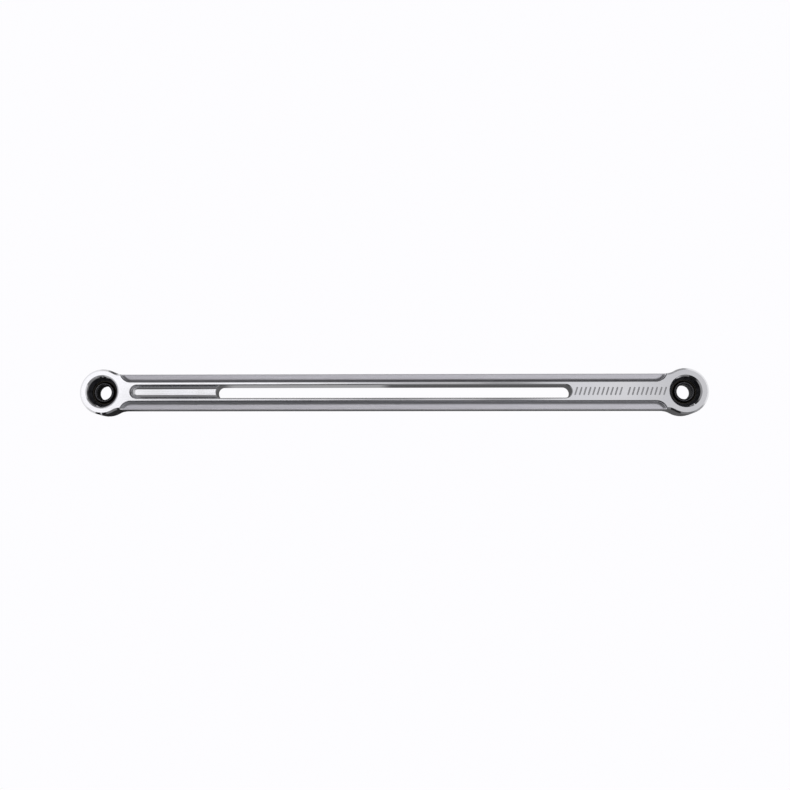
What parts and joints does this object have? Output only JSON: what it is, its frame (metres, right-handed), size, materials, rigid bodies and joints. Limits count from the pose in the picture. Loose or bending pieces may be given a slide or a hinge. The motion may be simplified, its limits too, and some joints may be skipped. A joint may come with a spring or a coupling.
{
  "type": "shift linkage rod",
  "caption": "Fluted and slotted metal link rod for a motorcycle gear shift linkage, with a swivelling spherical bearing held in the eye at each end.",
  "frame": {"origin": "centre of the rod at mid length and mid thickness", "axes": "+X along the rod from the eye beside the pocket to the eye beside the engraved ticks, +Z along the bearing bores, out of the front face that carries the ticks"},
  "size_m": [0.3424, 0.025, 0.0158],
  "materials": {
    "polished_billet": "chrome plated, mirror polished",
    "black_steel": "black phosphate",
    "ball_steel": "dark oxide, hardened, with ground edges",
    "liner_fabric": "woven low-friction liner"
  },
  "bodies": {
    "rod": {"rod_body": "polished_billet", "left_outer_race": "black_steel", "left_liner": "liner_fabric", "left_front_retaining_ring": "black_steel", "left_rear_retaining_ring": "black_steel", "right_outer_race": "black_steel", "right_liner": "liner_fabric", "right_front_retaining_ring": "black_steel", "right_rear_retaining_ring": "black_steel"},
    "left_ball": {"left_ball": "ball_steel"},
    "right_ball": {"right_ball": "ball_steel"}
  },
  "joints": [
    {"name": "left_ball_pivot", "type": "hinge", "parent": "rod", "child": "left_ball", "pos_m": [-0.15875, 0, 0], "axis": [0, 0, 1], "continuous": true},
    {"name": "right_ball_pivot", "type": "hinge", "parent": "rod", "child": "right_ball", "pos_m": [0.15875, 0, 0], "axis": [0, 0, 1], "continuous": true}
  ]
}
